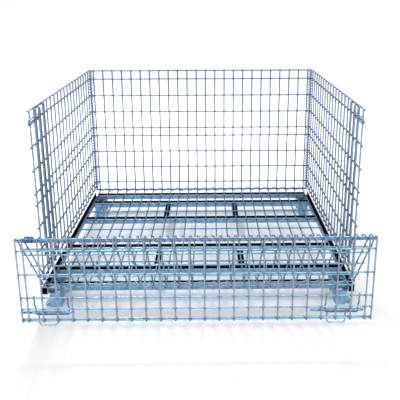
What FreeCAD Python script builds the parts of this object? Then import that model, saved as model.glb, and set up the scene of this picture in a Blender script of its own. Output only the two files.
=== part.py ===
# Collapsible wire mesh container, 1200 x 1000 mm footprint, drawn with its front opened:
# the lower front panel leans out on its bottom hinge and the gate hangs from its top edge.
# Millimetres, +Z up, origin on the ground under the middle of the opened container, front towards -Y.
import FreeCAD
import Part
import math
import os

doc = FreeCAD.newDocument("wire_mesh_container")
V = FreeCAD.Vector
sheet = doc.addObject("Spreadsheet::Sheet", "dims")
DIMS = [
    ("wire", 5.5),  # mesh wire diameter
    ("spiral_wire", 3.5),
    ("column_pitch", 50),
    ("row_pitch", 90),
    ("half_columns", 575),  # centre to outermost regular upright
    ("side_columns", 19),
    ("base_bottom", 60),  # underside of the channels, where the feet begin
    ("channel_height", 26),
    ("channel_width", 30),
    ("channel_wall", 2.5),
    ("side_channel_width", 24),
    ("front_channel_width", 28),
    ("front_channel_front", -460),
    ("base_half_length", 600),
    ("base_front", -483),
    ("base_rear", 485),
    ("floor_low", 88.75),  # centre height of the long floor wires
    ("floor_high", 94.25),  # centre height of the cross floor wires
    ("mesh_bottom", 100.5),  # centre of the lowest rail of the back
    ("front_bottom", 103),  # centre of the lower front panel's lowest rail
    ("side_bottom", 113),
    ("back_upright", 498),
    ("back_rail", 492.5),
    ("side_upright", 592),
    ("side_rail", 597.5),
    ("side_hinge", 486),
    ("front_hinge", 480),
    ("front_upright", 474.5),
    ("front_edge", 597.25),
    ("gate_hinge", 460.5),  # gate axis height with the front closed
    ("gate_row_pitch", 87.5),
    ("gate_length", 306.25),
    ("lower_length", 349),
    ("hairpin_gap", 10.5),
    ("lean", 35),
    ("bolt_diameter", 8),
    ("bolt_line", 279),  # gate axis to bolt
    ("bolt_travel", 34),
    ("stay", 7),
    ("foot_front", -475),
    ("foot_width", 45),
    ("foot_depth", 140),
    ("foot_plate", 4),
    ("front_overhang", 93.1),  # from the base's centre to the middle of the opened container
]
for row, (alias, value) in enumerate(DIMS, 1):
    sheet.set("A%d" % row, alias)
    sheet.set("B%d" % row, str(value))
    sheet.setAlias("B%d" % row, alias)
doc.recompute()


def dim(alias):
    return float(sheet.get(alias))


TURN = {
    "x": FreeCAD.Rotation(V(0, 1, 0), 90),
    "y": FreeCAD.Rotation(V(1, 0, 0), -90),
    "z": FreeCAD.Rotation(),
}
# rows of the back and side panels, in row pitches from the lowest rail
ROWS = (0, 0.5, 1.5, 2.5, 3.5, 4, 5, 6, 7, 7.5)
GATE_ROWS = (0, 0.5, 1.5, 2.5, 3, 3.5)
LOWER_ROWS = (0, 65.5, 158, 243, 287)
COLUMNS = ["-dims.half_columns + %d * dims.column_pitch" % i for i in range(24)]
FRONT_COLUMNS = ["-dims.front_edge"] + COLUMNS + ["dims.front_edge"]
nodes = []


def bind(obj, **expressions):
    for key, text in expressions.items():
        path = "Placement.Base." + key if key in ("x", "y", "z") else key
        obj.setExpression(path, text)


def rod(axis, x, y, z, length, size="dims.wire"):
    """A straight wire from (x, y, z) along +axis."""
    bar = doc.addObject("Part::Cylinder", "rod")
    bar.Placement = FreeCAD.Placement(V(), TURN[axis])
    bind(bar, x=x, y=y, z=z, Height=length, Radius="(%s) / 2" % size)
    return bar


def cross_rod(y, z, half, size="dims.wire"):
    return rod("x", "-(%s)" % half, y, z, "2 * (%s)" % half, size)


def group(name, members, placement=None):
    """One node from several separate solids."""
    made = doc.addObject("Part::Compound", name)
    made.Links = members
    made.Label = name
    if placement is not None:
        made.Placement = placement
    nodes.append(made)
    return made


def solid(name, shape, placement=None):
    """One node from a shape that no primitive or sketch describes, such as a bent wire."""
    made = doc.addObject("Part::Feature", name)
    made.Shape = shape
    made.Label = name
    if placement is not None:
        made.Placement = placement
    nodes.append(made)
    return made


def box(x, y, z, length, width, height):
    made = doc.addObject("Part::Box", "box")
    bind(made, x=x, y=y, z=z, Length=length, Width=width, Height=height)
    return made


def channel_along_x(y_low, width, x_low, length):
    """A U channel open at the top."""
    outer = box(x_low, y_low, "dims.base_bottom", length, width, "dims.channel_height")
    inner = box(
        "(%s) - 1" % x_low,
        "(%s) + dims.channel_wall" % y_low,
        "dims.base_bottom + dims.channel_wall",
        "(%s) + 2" % length,
        "(%s) - 2 * dims.channel_wall" % width,
        "dims.channel_height",
    )
    cut = doc.addObject("Part::Cut", "channel")
    cut.Base = outer
    cut.Tool = inner
    return cut


def channel_along_y(x_low, width, y_low, length):
    outer = box(x_low, y_low, "dims.base_bottom", width, length, "dims.channel_height")
    inner = box(
        "(%s) + dims.channel_wall" % x_low,
        "(%s) - 1" % y_low,
        "dims.base_bottom + dims.channel_wall",
        "(%s) - 2 * dims.channel_wall" % width,
        "(%s) + 2" % length,
        "dims.channel_height",
    )
    cut = doc.addObject("Part::Cut", "channel")
    cut.Base = outer
    cut.Tool = inner
    return cut


def mirror_x(source):
    made = doc.addObject("Part::Mirroring", "mirror")
    made.Source = source
    made.Normal = V(1, 0, 0)
    made.Base = V(0, 0, 0)
    return made


def mirror_y(source):
    """Mirrored from the front feet to the rear feet."""
    made = doc.addObject("Part::Mirroring", "mirror")
    made.Source = source
    made.Normal = V(0, 1, 0)
    made.Base = V(0, (dim("foot_front") + dim("base_rear")) / 2, 0)
    return made


def spiral(name, pitch, turns, radius, placement):
    """A hinge spiral round local Z, starting on local +X."""
    helix = doc.addObject("Part::Helix", name + "_path")
    helix.Pitch = pitch
    helix.Height = pitch * turns
    helix.Radius = radius
    helix.SegmentLength = 1
    ring = doc.addObject("Part::Circle", name + "_section")
    climb = math.degrees(math.atan2(pitch, 2 * math.pi * radius))
    ring.Placement = FreeCAD.Placement(V(radius, 0, 0), FreeCAD.Rotation(V(1, 0, 0), 90 + climb))
    ring.setExpression("Radius", "dims.spiral_wire / 2")
    doc.recompute([helix, ring])
    sweep = doc.addObject("Part::Sweep", name)
    sweep.Sections = [ring]
    sweep.Spine = (helix, ["Edge%d" % (i + 1) for i in range(len(helix.Shape.Edges))])
    sweep.Solid = True
    sweep.Frenet = True
    sweep.Label = name
    sweep.Placement = placement
    return sweep


def bent(points, bend, size):
    """A wire of the given diameter through the points, with every corner rounded."""
    edges = []
    start = points[0]
    for a, b, c in zip(points, points[1:], points[2:]):
        into = (b - a).normalize()
        away = (c - b).normalize()
        half = into.getAngle(away) / 2
        reach = bend * math.tan(half)
        first = b - into * reach
        last = b + away * reach
        centre = b + (away - into).normalize() * (bend / math.cos(half))
        middle = centre + (b - centre).normalize() * bend
        if (first - start).Length > 1e-6:
            edges.append(Part.makeLine(start, first))
        edges.append(Part.Arc(first, middle, last).toShape())
        start = last
    if (points[-1] - start).Length > 1e-6:
        edges.append(Part.makeLine(start, points[-1]))
    section = Part.Wire(Part.makeCircle(size / 2, points[0], points[1] - points[0]))
    return Part.Wire(edges).makePipeShell([section], True, False)


# base frame: U channels, feet and foot lips
side_low = channel_along_y(
    "-dims.base_half_length", "dims.side_channel_width", "dims.base_front", "dims.base_rear - dims.base_front"
)
group("base_side_channels", [side_low, mirror_x(side_low)])
inner_low = "-dims.base_half_length + dims.side_channel_width"
inner_run = "2 * (dims.base_half_length - dims.side_channel_width)"
front = channel_along_x("dims.front_channel_front", "dims.front_channel_width", inner_low, inner_run)
front.Label = "base_front_channel"
nodes.append(front)
group(
    "base_cross_channels",
    [channel_along_x(str(y), "dims.channel_width", inner_low, inner_run) for y in (440, 330, 130, -160, -350)],
)
group(
    "base_short_channels",
    [
        channel_along_y("%d - dims.channel_width / 2" % x, "dims.channel_width", str(y), str(run))
        for x in (-175, 175)
        for y, run in ((-320, 160), (160, 170))
    ],
)


def foot_body():
    """A leg bent from plate into an upright box, with an arch through its long sides."""
    body = doc.addObject("PartDesign::Body", "foot")
    planes = {f.Role: f for f in body.Origin.OriginFeatures}
    section = body.newObject("Sketcher::SketchObject", "foot_section")
    section.AttachmentSupport = (planes["XY_Plane"], [""])
    section.MapMode = "FlatFace"
    right = dim("base_half_length") - dim("side_channel_width")
    left = right - dim("foot_width")
    low = dim("foot_front")
    high = low + dim("foot_depth")
    wall = dim("foot_plate")
    for inset in (0, wall):
        corners = [
            V(left + inset, low + inset, 0),
            V(right - inset, low + inset, 0),
            V(right - inset, high - inset, 0),
            V(left + inset, high - inset, 0),
        ]
        for a, b in zip(corners, corners[1:] + corners[:1]):
            section.addGeometry(Part.LineSegment(a, b), False)
    pad = body.newObject("PartDesign::Pad", "foot_pad")
    pad.Profile = section
    pad.setExpression("Length", "dims.base_bottom")
    section.Visibility = False
    arch = body.newObject("Sketcher::SketchObject", "foot_arch")
    arch.AttachmentSupport = (planes["YZ_Plane"], [""])
    arch.MapMode = "FlatFace"
    arch.addGeometry(Part.Circle(V((low + high) / 2, 0, 0), V(0, 0, 1), 30), False)
    notch = body.newObject("PartDesign::Pocket", "foot_notch")
    notch.Profile = arch
    notch.Type = 1
    notch.Midplane = True
    corner = body.newObject("Sketcher::SketchObject", "foot_corner")
    corner.AttachmentSupport = (planes["XZ_Plane"], [""])
    corner.MapMode = "FlatFace"
    cut = 16
    corner.addGeometry(Part.LineSegment(V(right + 1, -1, 0), V(right + 1, cut, 0)), False)
    corner.addGeometry(Part.LineSegment(V(right + 1, cut, 0), V(right, cut, 0)), False)
    arc = Part.Arc(V(right, cut, 0), V(right - cut * 0.293, cut * 0.293, 0), V(right - cut, 0, 0))
    corner.addGeometry(arc, False)
    corner.addGeometry(Part.LineSegment(V(right - cut, 0, 0), V(right - cut, -1, 0)), False)
    corner.addGeometry(Part.LineSegment(V(right - cut, -1, 0), V(right + 1, -1, 0)), False)
    rounding = body.newObject("PartDesign::Pocket", "foot_rounding")
    rounding.Profile = corner
    rounding.Type = 1
    rounding.Midplane = True
    doc.recompute()
    return body


foot = foot_body()
other_foot = mirror_x(foot)
group("base_front_feet", [foot, other_foot])
group("base_rear_feet", [mirror_y(foot), mirror_y(other_foot)])


def lip_shape():
    """A guide lip that flares out from the foot's outer plate above its rounded corner."""
    x = dim("base_half_length") - dim("side_channel_width")
    middle = dim("foot_front") + 20
    corners = [V(x, middle, 30), V(x + 22, middle, 8), V(x + 22, middle, 3), V(x, middle, 25)]
    plate = Part.Face(Part.makePolygon(corners + corners[:1])).extrude(V(0, 36, 0))
    return plate.translated(V(0, -18, 0))


lip = doc.addObject("Part::Feature", "lip")
lip.Shape = lip_shape()
other_lip = mirror_x(lip)
group("base_foot_lips", [lip, other_lip, mirror_y(lip), mirror_y(other_lip)])

# floor mesh: long wires on the channels, cross wires on the long wires
group("floor_long_wires", [rod("y", x, "-490", "dims.floor_low", "992") for x in COLUMNS])
group(
    "floor_cross_wires",
    [
        cross_rod("%d" % y, "dims.floor_high", "dims.half_columns + dims.wire / 2")
        for y in range(-400, 401, 100)
    ],
)
group("front_hinge_wire", [cross_rod("-487", "dims.floor_high", "dims.base_half_length")])
group("rear_hinge_wire", [cross_rod("499.5", "dims.floor_high", "dims.base_half_length")])
# spiral frames: local Z along +X, local X up or down
UP = FreeCAD.Rotation(V(0, 0, 1), V(0, -1, 0), V(1, 0, 0), "ZXY")
DOWN = FreeCAD.Rotation(V(0, 0, -1), V(0, 1, 0), V(1, 0, 0), "ZXY")
front_spiral = spiral("front_hinge_spiral", 50, 23.5, 10.9, FreeCAD.Placement(V(-587.5, -483.5, 98.6), UP))
nodes.append(front_spiral)
rear_spiral = spiral("rear_hinge_spiral", 50, 22.5, 9.8, FreeCAD.Placement(V(-562.5, 496, 97.4), DOWN))
nodes.append(rear_spiral)

# back panel
HEIGHT = "7.5 * dims.row_pitch + dims.wire"
group(
    "back_uprights",
    [
        rod("z", x, "dims.back_upright", "dims.mesh_bottom - dims.wire / 2", HEIGHT)
        for x in ["-dims.side_upright"] + COLUMNS + ["dims.side_upright"]
    ],
)
group(
    "back_rails",
    [
        cross_rod("dims.back_rail", "dims.mesh_bottom + %g * dims.row_pitch" % r, "dims.side_upright + dims.wire / 2")
        for r in ROWS
    ],
)
corner = spiral("corner_spiral", 22.5, 29, 11.1, FreeCAD.Placement(V(-592, 492, 115.01), TURN["z"]))
group("back_left_spiral", [corner])
group("back_right_spiral", [mirror_x(corner)])


def side_panel(name, sign):
    """A side panel at x = sign * side_upright, hinged on its rear upright."""
    if sign < 0:
        upright, rail, stay_line = "-dims.side_upright", "-dims.side_rail", "-603.75"
    else:
        upright, rail, stay_line = "dims.side_upright", "dims.side_rail", "603.75"
    group(
        name + "_uprights",
        [
            rod(
                "z",
                upright,
                "dims.side_hinge - %d * dims.column_pitch" % i,
                "dims.side_bottom - dims.wire / 2",
                "dims.mesh_bottom + 7.5 * dims.row_pitch - dims.side_bottom + dims.wire",
            )
            for i in range(20)
        ],
    )
    heights = ["dims.side_bottom"] + ["dims.mesh_bottom + %g * dims.row_pitch" % r for r in ROWS[1:]]
    group(
        name + "_rails",
        [
            rod(
                "y",
                rail,
                "dims.side_hinge - dims.side_columns * dims.column_pitch - dims.wire / 2",
                z,
                "dims.side_columns * dims.column_pitch + dims.wire",
            )
            for z in heights
        ],
    )
    x = sign * 603.75
    top = 768
    loop = bent([V(x, -364, 122), V(x, -364, top), V(x, -264, top), V(x, -264, 122)], 14, dim("stay"))
    solid(name + "_stay_loop", loop)
    group(name + "_stay_rod", [rod("z", stay_line, "-314", "122", "636", "dims.stay")])
    x = sign * (dim("side_upright") - dim("wire"))
    z = dim("gate_hinge") + dim("bolt_line")
    tip = -dim("front_hinge") - 7.25 - 9
    back = -366.75
    catch = bent([V(x, back, z - 9), V(x, tip, z - 9), V(x, tip, z + 9), V(x, back, z + 9)], 8.99, dim("wire"))
    solid(name + "_catch", catch)
    # plate with an oval hole between the two lowest rails, on the uprights' outer face
    plate = Part.makeBox(3, 56, 26, V(sign * 594.75 - (3 if sign < 0 else 0), -317, 116.5))
    plate = plate.makeFillet(8, [e for e in plate.Edges if abs(e.tangentAt(e.FirstParameter).x) > 0.9])
    slot = Part.makeCylinder(8, 9, V(sign * 594.75 - 4.5, -297, 129.5), V(1, 0, 0))
    slot = slot.fuse(Part.makeCylinder(8, 9, V(sign * 594.75 - 4.5, -281, 129.5), V(1, 0, 0)))
    slot = slot.fuse(Part.makeBox(9, 16, 16, V(sign * 594.75 - 4.5, -297, 121.5)))
    solid(name + "_plate", plate.cut(slot))


side_panel("side_left", -1)
side_panel("side_right", 1)

# lower front panel, drawn upright and then leaned out about its bottom rail
bottom_axis = V(0, -dim("front_hinge"), dim("front_bottom"))
LEANED = FreeCAD.Placement(V(), FreeCAD.Rotation(V(1, 0, 0), dim("lean")), bottom_axis)
low_top = "dims.lower_length - dims.hairpin_gap"
short = "dims.lower_length - dims.hairpin_gap + dims.wire"
group(
    "lower_uprights",
    [
        rod("z", x, "-dims.front_upright", "dims.front_bottom - dims.wire / 2", short)
        for x in COLUMNS
    ]
    + [
        rod("z", x, "-dims.front_upright", "dims.front_bottom - dims.wire / 2", "dims.lower_length + dims.wire")
        for x in (FRONT_COLUMNS[0], FRONT_COLUMNS[-1])
    ],
    LEANED,
)
group(
    "lower_rails",
    [
        cross_rod("-dims.front_hinge", "dims.front_bottom + %g" % r, "dims.front_edge + dims.wire / 2")
        for r in LOWER_ROWS
    ],
    LEANED,
)
half = dim("front_edge")
y = -dim("front_hinge")
z = dim("front_bottom") + dim("lower_length")
gap = dim("hairpin_gap")
bend = gap / 2
hairpin = Part.Wire(
    [
        Part.makeLine(V(-half + bend, y, z), V(half - bend, y, z)),
        Part.Arc(V(half - bend, y, z), V(half, y, z - bend), V(half - bend, y, z - gap)).toShape(),
        Part.makeLine(V(half - bend, y, z - gap), V(-half + bend, y, z - gap)),
        Part.Arc(V(-half + bend, y, z - gap), V(-half, y, z - bend), V(-half + bend, y, z)).toShape(),
    ]
)
section = Part.Wire(Part.makeCircle(dim("wire") / 2, V(-half + bend, y, z), V(1, 0, 0)))
solid("lower_top_loop", hairpin.makePipeShell([section], True, False), LEANED)
closed_spiral = FreeCAD.Placement(V(-590.7, y, dim("gate_hinge") - 4.25), UP)
nodes.append(spiral("gate_hinge_spiral", 25, 47, 9.4, LEANED.multiply(closed_spiral)))

# gate, drawn closed above the lower panel, then swung down until it hangs
gate_axis = V(0, -dim("front_hinge"), dim("gate_hinge"))
HUNG = LEANED.multiply(FreeCAD.Placement(V(), FreeCAD.Rotation(V(1, 0, 0), 180 - dim("lean")), gate_axis))
group(
    "gate_uprights",
    [
        rod("z", x, "-dims.front_upright", "dims.gate_hinge - dims.wire / 2", "dims.gate_length + dims.wire")
        for x in FRONT_COLUMNS
    ],
    HUNG,
)
group(
    "gate_rails",
    [
        cross_rod("-dims.front_hinge", "dims.gate_hinge + %g * dims.gate_row_pitch" % r, "dims.front_edge + dims.wire / 2")
        for r in GATE_ROWS
    ]
    + [
        cross_rod(
            "-dims.front_hinge",
            "dims.gate_hinge + dims.gate_length - dims.wire - 0.5",
            "dims.front_edge + dims.wire / 2",
        )
    ],
    HUNG,
)


def guide(sign):
    """A wire staple that steps over the bolt and holds it against the gate."""
    low = -dim("front_hinge") - 5.25
    high = -dim("front_hinge") - 14.25
    base = dim("gate_hinge")
    near, far = sign * 442, sign * 556
    points = [
        V(near, low, base + 214),
        V(near, low, base + 250),
        V(near, high, base + 264),
        V(near, high, base + 292),
        V(far, high, base + 292),
        V(far, high, base + 264),
        V(far, low, base + 250),
        V(far, low, base + 214),
    ]
    return bent(points, 6, 5)


solid("gate_left_guide", guide(-1), HUNG)
solid("gate_right_guide", guide(1), HUNG)


def bolt(name, sign, outer):
    """Sliding bolt and its handle loop; outer is the distance of the bolt's tip from the centre."""
    line_y = "-dims.front_hinge - 7.25"
    line_z = "dims.gate_hinge + dims.bolt_line"
    x = str(-outer) if sign < 0 else str(outer - 184)
    group(name + "_rod", [rod("x", x, line_y, line_z, "184", "dims.bolt_diameter")], HUNG)
    y = -dim("front_hinge") - 7.25
    z = dim("gate_hinge") + dim("bolt_line") + dim("bolt_diameter") / 2
    a = sign * (outer - 62)
    b = sign * (outer - 125)
    loop = bent([V(a, y, z), V(a, y, z + 46), V(b, y, z + 46), V(b, y, z)], 12, 5)
    solid(name + "_handle", loop, HUNG)


bolt("bolt_left", -1, 607.25)
bolt("bolt_right", 1, 607.25 - dim("bolt_travel"))

# everything above is drawn about the base's centre; the origin is under the middle of the opened container
for node in nodes:
    node.Placement = FreeCAD.Placement(V(0, dim("front_overhang"), 0), TURN["z"]).multiply(node.Placement)

doc.recompute()
for obj in doc.Objects:
    if "Invalid" in obj.State or "Error" in obj.State:
        raise RuntimeError("%s is %s" % (obj.Label, obj.State))
os.makedirs("parts", exist_ok=True)
for node in nodes:
    shape = node.Shape
    if shape.isNull() or not shape.isValid() or not shape.Solids:
        raise RuntimeError("%s has no valid solid" % node.Label)
    shape.exportStep("parts/%s.step" % node.Label)
    print("%-22s %2d solids  volume %9.0f" % (node.Label, len(shape.Solids), shape.Volume))
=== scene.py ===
import math
import random

import bmesh
import bpy
import numpy as np
from mathutils import Matrix, Vector, noise


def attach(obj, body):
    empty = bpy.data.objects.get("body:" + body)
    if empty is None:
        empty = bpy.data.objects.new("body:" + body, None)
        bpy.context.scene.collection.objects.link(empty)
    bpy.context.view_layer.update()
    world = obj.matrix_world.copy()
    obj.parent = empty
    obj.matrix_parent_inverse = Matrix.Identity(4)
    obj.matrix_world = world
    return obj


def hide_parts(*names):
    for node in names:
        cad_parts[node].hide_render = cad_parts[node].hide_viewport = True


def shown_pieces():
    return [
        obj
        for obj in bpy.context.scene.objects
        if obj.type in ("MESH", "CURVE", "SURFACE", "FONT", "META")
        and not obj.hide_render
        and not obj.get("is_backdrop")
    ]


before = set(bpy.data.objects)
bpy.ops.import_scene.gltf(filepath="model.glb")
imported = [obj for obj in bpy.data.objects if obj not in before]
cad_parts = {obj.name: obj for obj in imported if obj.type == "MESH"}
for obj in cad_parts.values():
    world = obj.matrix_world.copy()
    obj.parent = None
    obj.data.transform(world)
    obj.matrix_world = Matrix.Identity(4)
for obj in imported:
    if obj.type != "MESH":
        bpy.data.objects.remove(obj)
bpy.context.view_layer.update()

dice = random.Random(11)
noise.seed_set(11)  # unseeded, the wires' unevenness would follow the clock and change with every run
MM = 0.001
SHIFT = 93.1  # the CAD is drawn about the base's centre and moved this far along Y
SIDES = (("left", -1), ("right", 1))  # name and sign along X
X, Y, Z = Vector((1, 0, 0)), Vector((0, 1, 0)), Vector((0, 0, 1))

# ------------------------------------------------------------------ sizes, in millimetres before the shift

FRONT_PLANE = -480  # the front panels' plane when they stand upright
LOWER_HINGE, GATE_HINGE = 103, 460.5  # heights in that plane
LEAN, HANG = 35, 145  # degrees the lower panel and the gate are turned at rest
CORNER = 592  # the corner wires, from the middle plane
WIRE_SIZE, SPIRAL_SIZE, STAY_SIZE, STAPLE_SIZE = 5.5, 3.5, 7, 5  # diameters
STAY_X, STAY_FRONT, STAY_REAR, STAY_LOW, STAY_TOP, STAY_BEND = 603.75, -364, -264, 122, 768, 14
CATCH_X, CATCH_ROOT, CATCH_BEND_AT, CATCH_TIP = 586.5, -366.75, -487, -496.25
CATCH_LOW, CATCH_HIGH = 730.5, 748.5
GUIDE_NEAR, GUIDE_FAR = 442, 556  # the two legs of a bolt's guide
GUIDE_FOOT, GUIDE_KNEE, GUIDE_NECK, GUIDE_TOP = 674.5, 710.5, 724.5, 752.5
GUIDE_DEEP, GUIDE_PROUD = -485.25, -494.25
BOLT_Y, BOLT_Z = -487.25, 743.5
LOOP_HALF, LOOP_TOP, LOOP_GAP = 597.25, 452.0, 10.5  # the lower panel's closed top wire
HALF, FRONT, REAR, LOW = 600.0, -483.0, 485.0, 60.0  # outside of the channel frame; LOW: its underside
INNER = 576  # inner face of the side channels
FOOT_WIDE, FOOT_DEEP, FOOT_WALL = 45.0, 140.0, 4.0

# ------------------------------------------------------------------ frames used by the CAD


def turn_x(degrees, y, z):
    """A rotation about an axis along X through (y, z), in millimetres."""
    at = Vector((0, y, z))
    return Matrix.Translation(at) @ Matrix.Rotation(math.radians(degrees), 4, "X") @ Matrix.Translation(-at)


PLACE = Matrix.Translation((0, SHIFT, 0))
LEANED = PLACE @ turn_x(LEAN, FRONT_PLANE, LOWER_HINGE)
HUNG = LEANED @ turn_x(HANG, FRONT_PLANE, GATE_HINGE)

# ------------------------------------------------------------------ mesh helpers, in metres

END_CUT, END_SIZE = 0.28, 0.8  # broken edge of a cut bar: its length and end, as parts of the radius
LUMPY = (0.86, 1.14)  # spread of a weld's reach
BEAD_STEP = 0.0016


class Build:
    """Collects vertices, faces and a weld-heat value, then makes one object."""

    def __init__(self):
        self.verts, self.faces, self.marks, self.heat = [], [], [], []

    def add(self, verts, faces, marks=None, heat=None):
        """marks: a material index for each face; heat: a value for each vertex."""
        base = len(self.verts)
        self.verts += [tuple(v) for v in verts]
        self.faces += [[base + i for i in face] for face in faces]
        self.marks += marks or [0] * len(faces)
        self.heat += heat or [0.0] * len(verts)

    def tube(self, path, radius, sides=10, closed=False, heat=None):
        """A round bar along the path, with slightly broken edges at cut ends."""
        path = [Vector(p) for p in path]
        radii = list(radius) if isinstance(radius, (list, tuple)) else [radius] * len(path)
        heat = list(heat) if heat is not None else [0.0] * len(path)
        if not closed:
            first = (path[1] - path[0]).normalized() * radii[0] * END_CUT
            last = (path[-2] - path[-1]).normalized() * radii[-1] * END_CUT
            path = [path[0], path[0] + first] + path[1:-1] + [path[-1] + last, path[-1]]
            radii = [radii[0] * END_SIZE, radii[0]] + radii[1:-1] + [radii[-1], radii[-1] * END_SIZE]
            heat = [heat[0]] + heat + [heat[-1]]
        count = len(path)
        verts, warm = [], []
        along = (path[1] - path[0]).normalized()
        side = along.orthogonal().normalized()
        for i, p in enumerate(path):
            if closed:
                here = (path[(i + 1) % count] - path[i - 1]).normalized()
            else:
                here = (path[min(i + 1, count - 1)] - path[max(i - 1, 0)]).normalized()
            side = (side - here * side.dot(here)).normalized()
            other = here.cross(side)
            for k in range(sides):
                a = 2 * math.pi * k / sides
                verts.append(p + (side * math.cos(a) + other * math.sin(a)) * radii[i])
                warm.append(heat[i])
        faces = []
        for i in range(count if closed else count - 1):
            j = (i + 1) % count
            for k in range(sides):
                m = (k + 1) % sides
                faces.append((i * sides + k, i * sides + m, j * sides + m, j * sides + k))
        if not closed:
            faces.append(tuple(reversed(range(sides))))
            faces.append(tuple(range((count - 1) * sides, count * sides)))
        self.add(verts, faces, heat=warm)

    def blob(self, at, normal, reach, thick):
        """One projection weld: a squashed, slightly uneven lump between two wires."""
        normal = Vector(normal).normalized()
        u = normal.orthogonal().normalized()
        u = Matrix.Rotation(dice.uniform(0, 3.1), 3, normal) @ u
        v = normal.cross(u)
        rings, around = 4, 8
        verts = [at + normal * thick]
        for i in range(1, rings):
            a = math.pi * i / rings
            for k in range(around):
                b = 2 * math.pi * k / around
                r = reach * math.sin(a) * dice.uniform(*LUMPY)
                verts.append(at + u * r * math.cos(b) + v * r * math.sin(b) + normal * thick * math.cos(a))
        verts.append(at - normal * thick)
        faces = [(0, 1 + k, 1 + (k + 1) % around) for k in range(around)]
        for i in range(rings - 2):
            for k in range(around):
                a, b = 1 + i * around + k, 1 + i * around + (k + 1) % around
                faces.append((a, a + around, b + around, b))
        low = len(verts) - 1
        start = 1 + (rings - 2) * around
        faces += [(start + (k + 1) % around, start + k, low) for k in range(around)]
        self.add(verts, faces, heat=[1.0] * len(verts))

    def bead(self, a, b, radius):
        """A short weld bead with the ripples of its run."""
        a, b = Vector(a), Vector(b)
        steps = max(5, int((b - a).length / BEAD_STEP))
        path, radii = [], []
        for i in range(steps + 1):
            t = i / steps
            swell = math.sin(math.pi * min(1, max(0.08, t * (1 - t) * 5)) / 2)
            path.append(a.lerp(b, t) + Vector([dice.uniform(-1, 1) * radius * 0.07 for _ in range(3)]))
            radii.append(radius * (0.35 + 0.65 * swell) * (1 + 0.1 * math.cos(i * math.pi)))
        self.tube(path, radii, sides=8, heat=[1.0] * len(path))

    def make(self, name, body, materials, slot, *stands_for):
        """The object itself. stands_for: the CAD nodes it replaces, none for welds."""
        mesh = bpy.data.meshes.new(name)
        mesh.from_pydata(self.verts, [], self.faces)
        mesh.polygons.foreach_set("use_smooth", [True] * len(self.faces))
        mesh.polygons.foreach_set("material_index", self.marks)
        heat = mesh.attributes.new("weld", "FLOAT", "POINT")
        heat.data.foreach_set("value", self.heat)
        for m in materials:
            mesh.materials.append(m)
        bm = bmesh.new()
        bm.from_mesh(mesh)
        bmesh.ops.recalc_face_normals(bm, faces=bm.faces)
        bm.to_mesh(mesh)
        bm.free()
        mesh.update()
        made = bpy.data.objects.new(name, mesh)
        bpy.context.scene.collection.objects.link(made)
        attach(made, body)
        if stands_for:
            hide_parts(*stands_for)
        return made


def bevel(obj, width):
    """Rounds the sharp edges of sheet parts when rendered."""
    step = obj.modifiers.new("edges", "BEVEL")
    step.width = width
    step.segments = 2
    step.limit_method = "ANGLE"
    step.angle_limit = math.radians(50)
    step.harden_normals = True


# ------------------------------------------------------------------ materials


class Nodes:
    """Small helper for writing shader trees."""

    def __init__(self, name):
        self.material = bpy.data.materials.new(name)
        self.material.use_nodes = True
        self.tree = self.material.node_tree
        self.shader = self.tree.nodes["Principled BSDF"]
        self.where = self.new("ShaderNodeTexCoord").outputs["Object"]

    def new(self, kind, **settings):
        node = self.tree.nodes.new(kind)
        for key, value in settings.items():
            setattr(node, key, value)
        return node

    def link(self, a, b):
        self.tree.links.new(a, b)

    def noise(self, scale, detail=5, rough=0.6, stretch=None):
        source = self.where
        if stretch:
            spread = self.new("ShaderNodeMapping")
            spread.inputs["Scale"].default_value = stretch
            self.link(source, spread.inputs["Vector"])
            source = spread.outputs["Vector"]
        node = self.new("ShaderNodeTexNoise")
        node.inputs["Scale"].default_value = scale
        node.inputs["Detail"].default_value = detail
        node.inputs["Roughness"].default_value = rough
        self.link(source, node.inputs["Vector"])
        return node.outputs["Fac"]

    def ramp(self, fac, *stops):
        """stops: (place, colour) pairs, where a colour of one number is a grey."""
        node = self.new("ShaderNodeValToRGB")
        band = node.color_ramp
        while len(band.elements) < len(stops):
            band.elements.new(0.5)
        for element, (at, colour) in zip(band.elements, stops):
            element.position = at
            element.color = (*colour, 1) if len(colour) == 3 else (colour[0],) * 3 + (1,)
        self.link(fac, node.inputs["Fac"])
        return node.outputs["Color"]

    def mix(self, fac, a, b):
        node = self.new("ShaderNodeMix", data_type="RGBA")
        for value, socket in ((fac, node.inputs[0]), (a, node.inputs[6]), (b, node.inputs[7])):
            if isinstance(value, (int, float)):
                socket.default_value = value
            elif isinstance(value, tuple):
                socket.default_value = (*value, 1)
            else:
                self.link(value, socket)
        return node.outputs[2]

    def maths(self, how, a, b):
        node = self.new("ShaderNodeMath", operation=how)
        for value, socket in ((a, node.inputs[0]), (b, node.inputs[1])):
            if isinstance(value, (int, float)):
                socket.default_value = value
            else:
                self.link(value, socket)
        return node.outputs[0]

    def bump(self, height, strength, distance, below=None):
        node = self.new("ShaderNodeBump")
        node.inputs["Strength"].default_value = strength
        node.inputs["Distance"].default_value = distance
        self.link(height, node.inputs["Height"])
        if below is not None:
            self.link(below, node.inputs["Normal"])
        return node.outputs["Normal"]

    def weld(self):
        node = self.new("ShaderNodeAttribute", attribute_name="weld")
        return node.outputs["Fac"]


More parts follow.
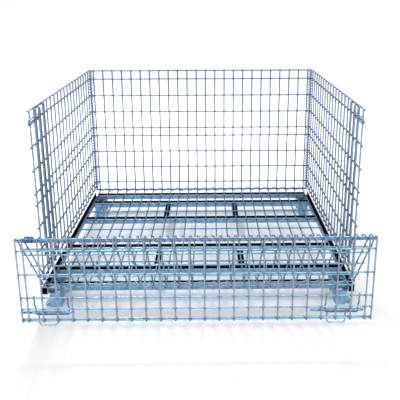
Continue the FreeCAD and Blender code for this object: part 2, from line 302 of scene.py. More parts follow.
def wire_material(name, light, dark, tint, rough):
    """Galvanised drawn wire: dull patches, a bluish cast and browner, rougher metal round the welds."""
    n = Nodes(name)
    fine = n.noise(160, 6, 0.65)
    wide = n.noise(5.5, 3, 0.5)
    colour = n.mix(n.ramp(fine, (0.32, (0.0,)), (0.68, (1.0,))), dark, light)
    colour = n.mix(n.ramp(wide, (0.38, (0.0,)), (0.62, (0.75,))), colour, tint)
    stain = n.maths("MULTIPLY", n.weld(), n.ramp(n.noise(420, 4), (0.25, (0.35,)), (0.7, (1.0,))))
    colour = n.mix(n.maths("MULTIPLY", stain, 0.62), colour, (0.10, 0.105, 0.125))
    n.link(colour, n.shader.inputs["Base Color"])
    n.shader.inputs["Metallic"].default_value = 0.82
    dull = n.ramp(n.noise(60, 5), (0.3, (rough - 0.1,)), (0.7, (rough + 0.14,)))
    n.link(n.mix(stain, dull, (0.66, 0.66, 0.66)), n.shader.inputs["Roughness"])
    grain = n.bump(n.noise(900, 3), 0.3, 0.0001)
    n.link(n.bump(n.noise(140, 4), 0.25, 0.0003, grain), n.shader.inputs["Normal"])
    return n.material


def sheet_material(name, light, mid, dark):
    """Hot-dip galvanised sheet: spangle, run marks and dull handling patches."""
    n = Nodes(name)
    wobble = n.new("ShaderNodeMixRGB")
    wobble.inputs["Fac"].default_value = 0.012
    cloud = n.new("ShaderNodeTexNoise")
    cloud.inputs["Scale"].default_value = 45
    n.link(n.where, cloud.inputs["Vector"])
    n.link(n.where, wobble.inputs["Color1"])
    n.link(cloud.outputs["Color"], wobble.inputs["Color2"])
    cells = n.new("ShaderNodeTexVoronoi")
    cells.inputs["Scale"].default_value = 95
    n.link(wobble.outputs["Color"], cells.inputs["Vector"])
    split = n.new("ShaderNodeSeparateColor")
    n.link(cells.outputs["Color"], split.inputs["Color"])
    spangle = split.outputs[0]
    colour = n.ramp(spangle, (0.0, dark), (0.45, mid), (1.0, light))
    patches = n.ramp(n.noise(14, 6, 0.62), (0.36, (0.0,)), (0.66, (0.7,)))
    colour = n.mix(patches, colour, mid)
    streaks = n.ramp(n.noise(8, 5, 0.6, (9, 9, 1.2)), (0.5, (0.0,)), (0.72, (0.35,)))
    colour = n.mix(streaks, colour, light)
    stain = n.maths("MULTIPLY", n.weld(), n.ramp(n.noise(260, 4), (0.25, (0.35,)), (0.7, (1.0,))))
    colour = n.mix(n.maths("MULTIPLY", stain, 0.6), colour, (0.13, 0.13, 0.14))
    n.link(colour, n.shader.inputs["Base Color"])
    n.shader.inputs["Metallic"].default_value = 0.55
    dull = n.maths("ADD", n.maths("MULTIPLY", split.outputs[1], 0.16), 0.34)
    n.link(n.maths("ADD", dull, n.maths("MULTIPLY", patches, 0.14)), n.shader.inputs["Roughness"])
    grain = n.bump(spangle, 0.12, 0.0003)
    n.link(n.bump(n.noise(380, 4), 0.3, 0.00025, grain), n.shader.inputs["Normal"])
    return n.material


def painted_shade_material(name):
    """Inner faces of the channels, painted near-black as the shade inside an open channel, in uneven
    patches, with a few rusty specks.
    """
    n = Nodes(name)
    # near-black base colour: painted shade of the channel's inside
    colour = n.ramp(n.noise(60, 6, 0.7), (0.3, (0.004, 0.004, 0.006)), (0.7, (0.016, 0.015, 0.018)))
    rust = n.ramp(n.noise(130, 5), (0.62, (0.0,)), (0.74, (0.5,)))
    colour = n.mix(rust, colour, (0.05, 0.022, 0.012))
    n.link(colour, n.shader.inputs["Base Color"])
    n.shader.inputs["Specular IOR Level"].default_value = 0.18
    n.link(n.ramp(n.noise(90, 4), (0.3, (0.65,)), (0.7, (0.95,))), n.shader.inputs["Roughness"])
    n.link(n.bump(n.noise(500, 4), 0.5, 0.0003), n.shader.inputs["Normal"])
    return n.material


# one zinc finish in several tones: main, dark and tint colours, then roughness. The tones differ by panel
# and between rails and uprights as painted light and shade, for how the light falls on each
WIRE = wire_material("zinc_wire_look", (0.23, 0.32, 0.44), (0.10, 0.14, 0.21), (0.22, 0.27, 0.42), 0.30)
SIDE = wire_material("zinc_side_look", (0.38, 0.50, 0.60), (0.18, 0.26, 0.35), (0.34, 0.42, 0.56), 0.30)
RAIL = wire_material("zinc_rail_look", (0.17, 0.33, 0.48), (0.07, 0.14, 0.23), (0.14, 0.27, 0.44), 0.28)
GATE = wire_material("zinc_gate_look", (0.44, 0.56, 0.65), (0.22, 0.30, 0.39), (0.40, 0.46, 0.60), 0.30)
GATE_RAIL = wire_material(
    "zinc_gate_rail_look", (0.33, 0.52, 0.62), (0.14, 0.25, 0.35), (0.28, 0.42, 0.55), 0.32,
)
SPIRAL = wire_material("zinc_spiral_look", (0.19, 0.33, 0.50), (0.08, 0.14, 0.24), (0.15, 0.26, 0.46), 0.30)
ROD = wire_material("zinc_rod_look", (0.24, 0.40, 0.57), (0.10, 0.18, 0.29), (0.20, 0.33, 0.50), 0.26)
SHEET = sheet_material("zinc_sheet_look", (0.42, 0.58, 0.71), (0.29, 0.44, 0.58), (0.16, 0.27, 0.40))
FOOT = sheet_material("zinc_foot_look", (0.34, 0.52, 0.68), (0.25, 0.41, 0.57), (0.15, 0.27, 0.41))
# the channels' inner faces: near-black painted shade with rusty specks
INSIDE_SHADE = painted_shade_material("channel_inside_painted_shade_look")

# ------------------------------------------------------------------ straight wires, read from the CAD nodes

TOUCH = 0.0012  # wires this close to each other are taken as welded
UNEVEN = 0.00035  # how far a wire wanders from its line
COAT = 0.0003  # added to the CAD's radius on the base, back and sides, where wires look thin without it
RING_STEP, WELD_WIDTH = 0.06, 0.0062
WELD_RINGS = (-0.011, -0.0045, 0.0, 0.0045, 0.011)
WELD_REACH, WELD_THICK, WELD_SPREAD = 0.0034, 0.0019, (0.88, 1.15)
LEGS = {}  # straight legs of bent wires, by node, so that their welds are found too


def wire_runs(node):
    """Both ends and the radius of every straight wire in a CAD node."""
    bm = bmesh.new()
    bm.from_mesh(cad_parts[node].data)
    bmesh.ops.remove_doubles(bm, verts=bm.verts, dist=1e-6)
    seen, runs = set(), []
    for seed in bm.verts:
        if seed in seen:
            continue
        seen.add(seed)
        stack, island = [seed], []
        while stack:
            vert = stack.pop()
            island.append(vert.co[:])
            for edge in vert.link_edges:
                far = edge.other_vert(vert)
                if far not in seen:
                    seen.add(far)
                    stack.append(far)
        points = np.array(island)
        middle = points.mean(axis=0)
        axis = np.linalg.svd(points - middle, full_matrices=False)[2][0]
        t = (points - middle) @ axis
        low = points[t < t.min() + 1e-5].mean(axis=0)
        high = points[t > t.max() - 1e-5].mean(axis=0)
        axis = (high - low) / np.linalg.norm(high - low)
        out = (points - low) - np.outer((points - low) @ axis, axis)
        runs.append((Vector(low), Vector(high), float(np.linalg.norm(out, axis=1).max())))
    bm.free()
    return runs


def crossings(runs, others):
    """Where wires of two sets touch.

    Gives the run's index, the other's index, the point between them, the normal and the place on each.
    """
    found = []
    for i, (a, b, r) in enumerate(runs):
        d = (b - a).normalized()
        for j, (p, q, s) in enumerate(others):
            e = (q - p).normalized()
            n = d.cross(e)
            if n.length < 0.2:  # nearly parallel
                continue
            n.normalize()
            gap = (p - a).dot(n)
            if abs(gap) > r + s + TOUCH or abs(gap) < 0.3 * (r + s):
                continue
            w = p - a
            c = d.dot(e)
            t = (w.dot(d) - w.dot(e) * c) / (1 - c * c)
            u = (w.dot(d) * c - w.dot(e)) / (1 - c * c)
            if -r < t < (b - a).length + r and -s < u < (q - p).length + s:
                found.append((i, j, a + d * t + n * gap * r / (r + s), n, t, u))
    return found


def sway(p):
    """Slight unevenness of a real wire."""
    return Vector(p) + noise.noise_vector(Vector(p) * 7.0) * UNEVEN


def wire_set(node, body, material, slot, runs, places):
    """All wires of one node as one mesh, with extra rings and heat where they are welded."""
    build = Build()
    coat = 0.0 if body in ("gate", "lower") else COAT
    for i, (a, b, r) in enumerate(runs):
        length = (b - a).length
        spots = sorted(t for k, t in places if k == i and 0 < t < length)
        rings = {0.0, length}
        for t in spots:
            for off in WELD_RINGS:
                if 0.004 < t + off < length - 0.004:
                    rings.add(round(t + off, 5))
        for k in range(1, int(length / RING_STEP)):
            t = k * RING_STEP
            if t < length - 0.01 and all(abs(t - s) > 0.016 for s in spots):
                rings.add(round(t, 5))
        rings = sorted(rings)
        path = [sway(a.lerp(b, t / length)) for t in rings]
        heat = [max([math.exp(-(((t - s) / WELD_WIDTH) ** 2)) for s in spots], default=0.0) for t in rings]
        build.tube(path, [(r + coat) * (1 + 0.05 * h) for h in heat], heat=heat)
    build.make(node + "_visual", body, [material], slot, node)


def weld_set(name, body, material, found):
    build = Build()
    for _, _, at, normal, _, _ in found:
        build.blob(sway(at), normal, WELD_REACH * dice.uniform(*WELD_SPREAD), WELD_THICK)
    build.make(name, body, [material], "zinc_wire")


def panel(prefix, body, material, rail, pairs):
    """Meshes the wire nodes of one panel and the welds between them.

    pairs: nodes that cross each other. The nodes in LEGS are only welded here; bent_wire draws them.
    """
    names = sorted({n for pair in pairs for n in pair})
    runs = {n: LEGS.get(n) or wire_runs(n) for n in names}
    places = {n: [] for n in names}
    welds = []
    for one, two in pairs:
        found = crossings(runs[one], runs[two])
        places[one] += [(f[0], f[4]) for f in found]
        places[two] += [(f[1], f[5]) for f in found]
        welds += found
    for n in names:
        if n not in LEGS:
            slot = "zinc_rod" if "stay" in n else "zinc_wire"
            metal = rail if n.endswith(("_rails", "_cross_wires", "_rod")) else material
            # the front hinge wire takes the gate rails' tone, painted lighter like the gate
            metal = GATE_RAIL if n == "front_hinge_wire" else metal
            wire_set(n, body, metal, slot, runs[n], places[n])
    weld_set(prefix + "_welds", body, material, welds)


def leg(place, a, b, diameter):
    return (place @ Vector(a) * MM, place @ Vector(b) * MM, diameter / 2 * MM)


for side, k in SIDES:
    x = k * STAY_X
    LEGS["side_%s_stay_loop" % side] = [
        leg(PLACE, (x, y, STAY_LOW), (x, y, STAY_TOP - STAY_BEND), STAY_SIZE)
        for y in (STAY_FRONT, STAY_REAR)
    ]
    x = k * CATCH_X
    LEGS["side_%s_catch" % side] = [
        leg(PLACE, (x, CATCH_ROOT, z), (x, CATCH_BEND_AT, z), WIRE_SIZE)
        for z in (CATCH_LOW, CATCH_HIGH)
    ]
    LEGS["gate_%s_guide" % side] = [
        leg(HUNG, (k * x, GUIDE_DEEP, GUIDE_FOOT), (k * x, GUIDE_DEEP, GUIDE_KNEE), STAPLE_SIZE)
        for x in (GUIDE_NEAR, GUIDE_FAR)
    ]
LEGS["lower_top_loop"] = [
    leg(LEANED, (-CORNER, FRONT_PLANE, z), (CORNER, FRONT_PLANE, z), WIRE_SIZE)
    for z in (LOOP_TOP - LOOP_GAP, LOOP_TOP)
]

panel("back", "base", WIRE, RAIL, [("back_uprights", "back_rails")])
panel(
    "floor", "base", WIRE, RAIL,
    [
        ("floor_long_wires", "floor_cross_wires"),
        ("floor_long_wires", "front_hinge_wire"),
        ("floor_long_wires", "rear_hinge_wire"),
    ],
)
for side, _ in SIDES:
    base = "side_%s_" % side
    panel(
        "side_" + side, "side_" + side, SIDE, WIRE,
        [
            (base + "uprights", base + "rails"),
            (base + "stay_rod", base + "rails"),
            (base + "stay_loop", base + "rails"),
            (base + "catch", base + "uprights"),
        ],
    )
panel(
    "lower", "lower", GATE, GATE_RAIL,
    [("lower_uprights", "lower_rails"), ("lower_uprights", "lower_top_loop")],
)
panel(
    "gate", "gate", GATE, GATE_RAIL,
    [
        ("gate_uprights", "gate_rails"),
        ("gate_left_guide", "gate_rails"),
        ("gate_right_guide", "gate_rails"),
    ],
)

# ------------------------------------------------------------------ bent wires


def rounded(points, bend, steps=7):
    """The line through the points with every corner turned into an arc. Millimetres."""
    points = [Vector(p) for p in points]
    line = [points[0]]
    for a, b, c in zip(points, points[1:], points[2:]):
        into, away = (b - a).normalized(), (c - b).normalized()
        half = into.angle(away) / 2
        reach = bend * math.tan(half)
        centre = b + (away - into).normalized() * (bend / math.cos(half))
        first, last = b - into * reach, b + away * reach
        u, v = (first - centre), (last - centre)
        for i in range(steps + 1):
            t = i / steps
            total = u.angle(v)
            line.append(centre + (u * math.sin((1 - t) * total) + v * math.sin(t * total)) / math.sin(total))
    line.append(points[-1])
    return line


def dense(line, step):
    """Extra points on the long straight parts."""
    out = [line[0]]
    for a, b in zip(line, line[1:]):
        count = max(1, int((b - a).length / step))
        out += [a.lerp(b, i / count) for i in range(1, count + 1)]
    return out


def bent_wire(node, body, material, slot, place, points, bend, diameter, hot=()):
    """A bent bar through the points. hot: where it is welded. Millimetres."""
    line = dense(rounded(points, bend), 40)
    path = [place @ p * MM for p in line]
    build = Build()
    heat = []
    for p in line:
        near = min([(p - Vector(h)).length for h in hot], default=1e9)
        heat.append(math.exp(-((near / 8.0) ** 2)))
    build.tube(path, diameter / 2 * MM, sides=12, heat=heat)
    build.make(node + "_visual", body, [material], slot, node)


STAY_PATH = (
    (STAY_FRONT, STAY_LOW), (STAY_FRONT, STAY_TOP), (STAY_REAR, STAY_TOP), (STAY_REAR, STAY_LOW),
)
CATCH_PATH = (
    (CATCH_ROOT, CATCH_LOW), (CATCH_TIP, CATCH_LOW), (CATCH_TIP, CATCH_HIGH), (CATCH_ROOT, CATCH_HIGH),
)
# places along a bolt from its inner end, in metres, and its radius there; the last four round the tip
BOLT_MARKS = [
    0, 0.02, 0.04, 0.059, 0.0625, 0.066, 0.08, 0.1, 0.118, 0.122, 0.126, 0.14, 0.16,
    0.176, 0.18, 0.1825, 0.184,
]
BOLT_SHAPE = [1] * (len(BOLT_MARKS) - 4) + [1, 0.93, 0.72, 0.4]
BOLT_WELDS, BOLT_WELD_WIDTH = (0.122, 0.059), 0.005
BOLT_TIPS = {"left": 607.25, "right": 573.25}  # pushed out on the left, drawn in on the right
HANDLE_NEAR, HANDLE_FAR, HANDLE_TALL = 62, 125, 46  # the handle's legs from the tip, and its height

for side, k in SIDES:
    body = "side_" + side
    x = k * STAY_X
    bent_wire(
        body + "_stay_loop", body, WIRE, "zinc_rod", PLACE,
        [(x, y, z) for y, z in STAY_PATH], STAY_BEND, STAY_SIZE,
    )
    x = k * CATCH_X
    bent_wire(
        body + "_catch", body, WIRE, "zinc_wire", PLACE,
        [(x, y, z) for y, z in CATCH_PATH], 8.99, WIRE_SIZE,
    )
    near = [
        (k * GUIDE_NEAR, GUIDE_DEEP, GUIDE_FOOT), (k * GUIDE_NEAR, GUIDE_DEEP, GUIDE_KNEE),
        (k * GUIDE_NEAR, GUIDE_PROUD, GUIDE_NECK), (k * GUIDE_NEAR, GUIDE_PROUD, GUIDE_TOP),
    ]
    far = [(k * GUIDE_FAR, y, z) for _, y, z in reversed(near)]
    bent_wire("gate_%s_guide" % side, "gate", ROD, "zinc_rod", HUNG, near + far, 6, STAPLE_SIZE)
    a, b = k * (BOLT_TIPS[side] - HANDLE_NEAR), k * (BOLT_TIPS[side] - HANDLE_FAR)
    y, z = BOLT_Y, BOLT_Z
    bent_wire(
        "bolt_%s_handle" % side, "bolt_" + side, GATE, "zinc_rod", HUNG,
        [(a, y, z), (a, y, z + HANDLE_TALL), (b, y, z + HANDLE_TALL), (b, y, z)], 12, STAPLE_SIZE,
        hot=[(a, y, z), (b, y, z)],
    )
    node = "bolt_%s_rod" % side
    start, end, r = wire_runs(node)[0]
    if (end - start).x * k < 0:
        start, end = end, start
    d = (end - start).normalized()
    warm = [math.exp(-(min(abs(m - w) for w in BOLT_WELDS) / BOLT_WELD_WIDTH) ** 2) for m in BOLT_MARKS]
    build = Build()
    build.tube([start + d * m for m in BOLT_MARKS], [r * s for s in BOLT_SHAPE], sides=16, heat=warm)
    build.make(node + "_visual", "bolt_" + side, [ROD], "zinc_rod", node)

# the top wire of the lower panel: out along the top and round one end, then back below and round the other
bend = LOOP_GAP / 2
straight, middle = LOOP_HALF - bend, LOOP_TOP - bend
loop = []
for k in (1, -1):
    for i in range(25):
        loop.append(Vector((k * (-straight + 2 * straight * i / 24), FRONT_PLANE, middle + k * bend)))
    for i in range(1, 9):
        a = math.pi * i / 9
        x, z = k * (straight + bend * math.sin(a)), middle + k * bend * math.cos(a)
        loop.append(Vector((x, FRONT_PLANE, z)))
build = Build()
build.tube([LEANED @ p * MM for p in loop], WIRE_SIZE / 2 * MM, sides=12, closed=True)
build.make("lower_top_loop_visual", "lower", [GATE], "zinc_wire", "lower_top_loop")

# ------------------------------------------------------------------ hinge spirals


def coil(node, body, place, centre, axes, radius, stages, metal=SPIRAL):
    """A spiral: stages are (turns, pitch) runs, one after another. Millimetres."""
    build = Build()
    centre = Vector(centre)
    along, first, second = axes
    points, travel, turned = [], 0.0, 0.0
    for turns, pitch in stages:
        count = max(2, int(round(turns * 16)))
        for i in range(count + (1 if (turns, pitch) == stages[-1] else 0)):
            t = turned + turns * i / count
            a = 2 * math.pi * t
            step = travel + pitch * turns * i / count
            points.append(centre + along * step + (first * math.cos(a) + second * math.sin(a)) * radius)
        travel += pitch * turns
        turned += turns
    path = [place @ p * MM for p in points]
    build.tube(path, SPIRAL_SIZE / 2 * MM, sides=8)
    build.make(node + "_visual", body, [metal], "zinc_spiral", node)


# the front hinge spiral takes the gate's tone, painted lighter than the other spirals
coil("front_hinge_spiral", "base", PLACE, (-587.5, -483.5, 98.6), (X, Z, -Y), 10.9, [(23.5, 50)], GATE)
coil("rear_hinge_spiral", "base", PLACE, (-562.5, 496, 97.4), (X, -Z, Y), 9.8, [(22.5, 50)])
for side, k in SIDES:
    coil("back_%s_spiral" % side, "base", PLACE, (k * CORNER, 492, 109.95), (Z, X * -k, Y), 11.1, [(44, 15)])
coil(
    "gate_hinge_spiral", "lower", LEANED, (-569, FRONT_PLANE, 456.25), (X, Z, -Y), 9.4,
    [(7, 4.1), (1, 24.6), (44, 25)],
)

# ------------------------------------------------------------------ bent sheet channels


CHANNEL_HIGH, CHANNEL_WALL, CHANNEL_BEND = 26, 2.5, 4.0
CROSS = (440, 330, 130, -160, -350)  # front edges of the cross channels
CROSS_WIDE = 30
FRONT_CHANNEL, FRONT_WIDE = -460, 28
SIDE_WIDE = 24
SHORT_X = (-175, 175)
SHORT_RUNS = ((-320, 160), (160, 170))  # start and length of the short channels


def channel_profile(width):
    """Outer and inner outlines of a U with rounded bends, as matching point lists."""
    height, wall, outer, steps = CHANNEL_HIGH, CHANNEL_WALL, CHANNEL_BEND, 5
    inner = outer - wall
    out, into = [(0, height)], [(wall, height)]
    for cx, cy, a0 in ((outer, outer, 180), (width - outer, outer, 270)):
        for i in range(steps + 1):
            a = math.radians(a0 + 90 * i / steps)
            out.append((cx + outer * math.cos(a), cy + outer * math.sin(a)))
            into.append((cx + inner * math.cos(a), cy + inner * math.sin(a)))
    out.append((width, height))
    into.append((width - wall, height))
    return out, into


def channel(build, at, across, along, length, width):
    """A U channel open upwards, from corner 'at', in millimetres before the shift."""
    at = Vector(at)
    out, into = channel_profile(width)
    n = len(out)
    stations = max(2, int(length / 80) + 1)
    verts = []
    for s in range(stations):
        off = length * s / (stations - 1)
        verts += [PLACE @ (at + across * u + along * off + Z * v) * MM for u, v in out + into]
    size = 2 * n
    # dark: the inner faces, which take material 1, the channels' painted shade
    skin, dark, caps = [], [], []
    for s in range(stations - 1):
        a, b = s * size, (s + 1) * size
        for i in range(n - 1):
            skin.append((a + i, a + i + 1, b + i + 1, b + i))
            dark.append((a + n + i + 1, a + n + i, b + n + i, b + n + i + 1))
        skin.append((a, b, b + n, a + n))
        skin.append((a + n - 1, a + 2 * n - 1, b + 2 * n - 1, b + n - 1))
    for a in (0, (stations - 1) * size):
        for i in range(n - 1):
            caps.append((a + i, a + n + i, a + n + i + 1, a + i + 1))
    build.add(verts, skin + dark + caps, [0] * len(skin) + [1] * len(dark) + [0] * len(caps))


def channels(node, *bars):
    """All channels of one node. bars: (corner, across, along, length, width)."""
    build = Build()
    for bar in bars:
        channel(build, *bar)
    made = build.make(node + "_visual", "base", [SHEET, INSIDE_SHADE], "zinc_sheet", node)
    bevel(made, 0.0005)


channels("base_side_channels", *[
    ((x, FRONT, LOW), X, Y, REAR - FRONT, SIDE_WIDE) for x in (-HALF, HALF - SIDE_WIDE)
])
channels("base_front_channel", ((-INNER, FRONT_CHANNEL, LOW), Y, X, 2 * INNER, FRONT_WIDE))
channels("base_cross_channels", *[((-INNER, y, LOW), Y, X, 2 * INNER, CROSS_WIDE) for y in CROSS])
channels("base_short_channels", *[
    ((x - CROSS_WIDE / 2, y, LOW), X, Y, run, CROSS_WIDE) for x in SHORT_X for y, run in SHORT_RUNS
])

# weld beads where channels meet
build = Build()
edges = [FRONT_CHANNEL, FRONT_CHANNEL + FRONT_WIDE] + [y + off for y in CROSS for off in (0, CROSS_WIDE)]
for k in (-1, 1):
    for y in edges:
        x = k * 575.2  # just inside the side channels
        build.bead(PLACE @ Vector((x, y, LOW + 5)) * MM, PLACE @ Vector((x, y, LOW + 22)) * MM, 0.0021)
for x in SHORT_X:
    for y in [y + off for y, run in SHORT_RUNS for off in (0, run)]:
        for off in (-CROSS_WIDE / 2, CROSS_WIDE / 2):
            at = Vector((x + off, y, 0))
            build.bead(PLACE @ (at + Z * (LOW + 5)) * MM, PLACE @ (at + Z * (LOW + 21)) * MM, 0.0019)
build.make("base_weld_beads", "base", [SHEET], "zinc_sheet")

# ------------------------------------------------------------------ feet


def foot_outline():
    """Plan outline of a leg: a rounded rectangle, as (x, y, nx, ny) all round."""
    w, d, corner, step = FOOT_WIDE, FOOT_DEEP, 7.0, 2.0
    points = []

    def run(x0, y0, x1, y1, nx, ny, pitch):
        length = math.hypot(x1 - x0, y1 - y0)
        count = max(1, int(length / pitch))
        for i in range(count):
            t = i / count
            points.append((x0 + (x1 - x0) * t, y0 + (y1 - y0) * t, nx, ny))

    def turn(cx, cy, a0):
        for i in range(5):
            a = math.radians(a0 + 90 * i / 5)
            points.append((cx + corner * math.cos(a), cy + corner * math.sin(a), math.cos(a), math.sin(a)))

    run(corner, 0, w - corner, 0, 0, -1, step)
    turn(w - corner, corner, -90)
    run(w, corner, w, d - corner, 1, 0, step * 1.6)
    turn(w - corner, d - corner, 0)
    run(w - corner, d, corner, d, 0, 1, step)
    turn(corner, d - corner, 90)
    run(0, d - corner, 0, corner, -1, 0, step * 1.6)
    turn(corner, corner, 180)
    return points


def foot(build, low, sign, flip):
    """One leg. low: its front face; sign mirrors across, flip mirrors front to rear."""
    outline = foot_outline()
    centre, arch, nick = FOOT_DEEP / 2, 30, 16  # the arch in its side and the rounded outer bottom edge
    levels = [0.0, 0.04, 0.1, 0.17, 0.24, 0.31, 0.38, 0.45, 0.52, 0.6, 0.7, 0.8, 0.9, 1.0]

    def bottom(x, y):
        z = 0.0
        if abs(y - centre) < arch:
            z = math.sqrt(arch ** 2 - (y - centre) ** 2)
        if x > FOOT_WIDE - nick:
            z = max(z, nick - math.sqrt(max(0.0, nick ** 2 - (x - (FOOT_WIDE - nick)) ** 2)))
        return z

    def place(x, y, z):
        x = INNER - FOOT_WIDE + x
        y = low + (FOOT_DEEP - y if flip else y)
        return PLACE @ Vector((sign * x, y, z)) * MM

    def press(x, y, z, ny):
        """The shallow pressed panel in the front plate: how far it is sunk."""
        if abs(ny) < 0.9:
            return 0.0
        u = abs(x - 20) / 13.0
        v = abs(z - 24) / 16.0
        edge = max(u, v) if min(u, v) < 0.6 else (u ** 4 + v ** 4) ** 0.25
        return 1.7 * max(0.0, min(1.0, (1.08 - edge) / 0.22))

    n = len(outline)
    verts = []
    for inset in (0.0, FOOT_WALL):
        for level in levels:
            for x, y, nx, ny in outline:
                px, py = x - nx * inset, y - ny * inset
                z0 = bottom(x, y)
                z = z0 + (LOW - z0) * level
                sink = press(x, y, z, ny)
                verts.append(place(px, py - ny * sink, z))
    rows = len(levels)
    faces = []
    for shell in (0, 1):
        base = shell * rows * n
        for r in range(rows - 1):
            for i in range(n):
                j = (i + 1) % n
                a, b = base + r * n, base + (r + 1) * n
                faces.append((a + i, a + j, b + j, b + i))
    for r in (0, rows - 1):
        for i in range(n):
            j = (i + 1) % n
            a, b = r * n, rows * n + r * n
            faces.append((a + i, a + j, b + j, b + i))
    build.add(verts, faces)


for row, flip, low in (("front", False, -475.0), ("rear", True, REAR - FOOT_DEEP)):
    build = Build()
    for sign in (-1, 1):
        foot(build, low, sign, flip)
    made = build.make("base_%s_feet_visual" % row, "base", [FOOT], "zinc_sheet", "base_%s_feet" % row)
    bevel(made, 0.0007)

# beads between the legs and the channels above them
build = Build()
for sign in (-1, 1):
    for y in (-466, -425, -382, 354, 392, 434, 462):
        x = sign * 576.3
        build.bead(PLACE @ Vector((x, y, 59.6)) * MM, PLACE @ Vector((x, y + 20, 59.6)) * MM, 0.0022)
build.make("base_leg_beads", "base", [FOOT], "zinc_sheet")


def tongue(build, sign, y_mid):
    """A stacking lip: a rounded tongue of plate that flares out from the leg."""
    wide, out, thick = 18.0, 22.0, 4.2
    verts, rows, cols = [], 11, 13
    for face in (0, 1):
        for i in range(rows):
            t = i / (rows - 1)
            half = wide * (1 - max(0.0, (t - 0.35) / 0.65) ** 2.2 * 0.62)
            drop = 22 * (0.75 * t + 0.25 * t * t)
            for k in range(cols):
                u = -1 + 2 * k / (cols - 1)
                curl = 1.4 * (u * u)
                x = INNER + (out - 0.2) * t * (1 - 0.06 * u * u * t)
                z = 29.6 - drop - face * thick - curl * 0.4
                verts.append(PLACE @ Vector((sign * x, y_mid + half * u, z)) * MM)
    faces = []
    size = rows * cols
    for face in (0, 1):
        for i in range(rows - 1):
            for k in range(cols - 1):
                a = face * size + i * cols + k
                faces.append((a, a + 1, a + cols + 1, a + cols))
    ring = list(range(cols)) + [i * cols + cols - 1 for i in range(1, rows)]
    ring += [(rows - 1) * cols + k for k in range(cols - 2, -1, -1)]
    ring += [i * cols for i in range(rows - 2, 0, -1)]
    for a, b in zip(ring, ring[1:] + ring[:1]):
        faces.append((a, b, b + size, a + size))
    build.add(verts, faces)


build = Build()
for sign in (-1, 1):
    for y in (-455, REAR - 20):
        tongue(build, sign, y)
made = build.make("base_foot_lips_visual", "base", [FOOT], "zinc_sheet", "base_foot_lips")
bevel(made, 0.0008)


def eye_plate(side, sign):
    """Side plate, 56 x 26 mm, with rounded corners and an oval hole."""
    build = Build()
    steps, r = 12, 8  # r: radius of the corners and of the hole's ends
    outer, inner = [], []
    for cx, cz, hx, a0 in ((48, 18, 36, 0), (8, 18, 20, 90), (8, 8, 20, 180), (48, 8, 36, 270)):
        for i in range(steps + 1):
            a = math.radians(a0 + 90 * i / steps)
            outer.append((cx + r * math.cos(a), cz + r * math.sin(a)))
            inner.append((hx + r * math.cos(a), 13 + r * math.sin(a)))
    n = len(outer)
    verts = []
    for x in (594.75, 597.75):
        for ring in (outer, inner):
            for y, z in ring:
                verts.append(PLACE @ Vector((sign * x, -317 + y, 116.5 + z)) * MM)
    faces = []
    for i in range(n):
        j = (i + 1) % n
        faces.append((i, j, n + j, n + i))
        faces.append((2 * n + i, 3 * n + i, 3 * n + j, 2 * n + j))
        faces.append((i, 2 * n + i, 2 * n + j, j))
        faces.append((n + i, n + j, 3 * n + j, 3 * n + i))
    build.add(verts, faces)
    made = build.make(side + "_plate_visual", side, [SHEET], "zinc_sheet", side + "_plate")
    bevel(made, 0.0005)


for side, k in SIDES:
    eye_plate("side_" + side, k)

# ------------------------------------------------------------------ floor, light and camera

bm = bmesh.new()
bmesh.ops.create_grid(bm, x_segments=4, y_segments=4, size=60)
mesh = bpy.data.meshes.new("studio_floor")
bm.to_mesh(mesh)
bm.free()
ground = bpy.data.objects.new("studio_floor", mesh)
bpy.context.scene.collection.objects.link(ground)
paper = bpy.data.materials.new("studio_floor_look")
paper.use_nodes = True
shader = paper.node_tree.nodes["Principled BSDF"]
shader.inputs["Base Color"].default_value = (0.95, 0.935, 0.925, 1)
shader.inputs["Emission Color"].default_value = (1.0, 1.0, 1.0, 1)
shader.inputs["Emission Strength"].default_value = 0.06
shader.inputs["Roughness"].default_value = 0.9
shader.inputs["Specular IOR Level"].default_value = 0.1
mesh.materials.append(paper)
ground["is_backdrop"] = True

world = bpy.data.worlds.new("studio")
bpy.context.scene.world = world
world.use_nodes = True
tree = world.node_tree
back = tree.nodes["Background"]
spot = tree.nodes.new("ShaderNodeTexCoord")
split = tree.nodes.new("ShaderNodeSeparateXYZ")
band = tree.nodes.new("ShaderNodeValToRGB")
tree.links.new(spot.outputs["Generated"], split.inputs[0])
tree.links.new(split.outputs["Z"], band.inputs["Fac"])
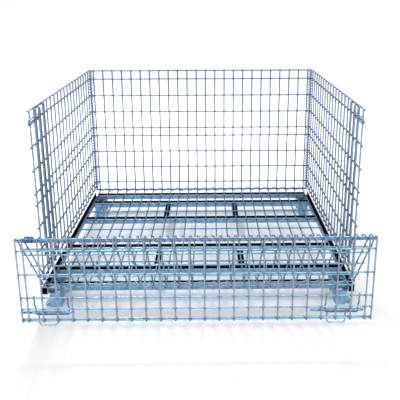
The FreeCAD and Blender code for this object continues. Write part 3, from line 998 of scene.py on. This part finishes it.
tree.links.new(band.outputs["Color"], back.inputs["Color"])
stops = ((0.0, 1.0), (0.12, 0.98), (0.5, 1.0), (1.0, 1.05))
while len(band.color_ramp.elements) < len(stops):
    band.color_ramp.elements.new(0.5)
for element, (at, value) in zip(band.color_ramp.elements, stops):
    element.position = at
    element.color = (value, value, value * 1.005, 1)
back.inputs["Strength"].default_value = 1.0


def soft_light(name, at, aim, size, power, colour):
    """A rectangular lamp at 'at', turned to 'aim', that the camera doesn't see."""
    lamp = bpy.data.lights.new(name, "AREA")
    lamp.shape = "RECTANGLE"
    lamp.size, lamp.size_y = size
    lamp.energy = power
    lamp.color = colour
    made = bpy.data.objects.new(name, lamp)
    made.location = at
    made.rotation_euler = (Vector(aim) - Vector(at)).to_track_quat("-Z", "Y").to_euler()
    bpy.context.scene.collection.objects.link(made)
    made.visible_camera = False
    return made


soft_light("key", (-0.9, 2.9, 3.0), (0, 0, 0.1), (0.5, 0.5), 75, (1.0, 0.985, 0.97))
strip = soft_light("strip", (0.2, -2.3, 2.5), (0, -0.3, 0.3), (5.0, 0.9), 120, (0.96, 0.99, 1.0))
lit = bpy.data.collections.new("container_only")  # the strip leaves the floor alone
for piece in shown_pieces():
    lit.objects.link(piece)
strip.light_linking.receiver_collection = lit

cam = bpy.data.cameras.new("camera")
view = bpy.data.objects.new("camera", cam)
bpy.context.scene.collection.objects.link(view)
cam.sensor_width = 36
cam.lens = 46.152
cam.shift_x = -0.038
cam.shift_y = -0.2
cam.clip_start = 0.05
cam.clip_end = 200
YAW, DOWN, ROLL = -0.697, 14.079, -0.131  # degrees
aim = Matrix.Rotation(math.radians(YAW), 4, "Z") @ Matrix.Rotation(math.radians(90 - DOWN), 4, "X")
aim = aim @ Matrix.Rotation(math.radians(ROLL), 4, "Z")
view.matrix_world = Matrix.Translation((0.0436, -2.1400, 1.1850)) @ aim
bpy.context.scene.camera = view

settings = bpy.context.scene.view_settings
settings.view_transform = "Standard"
settings.look = "None"
settings.exposure = 0.0
settings.gamma = 0.8
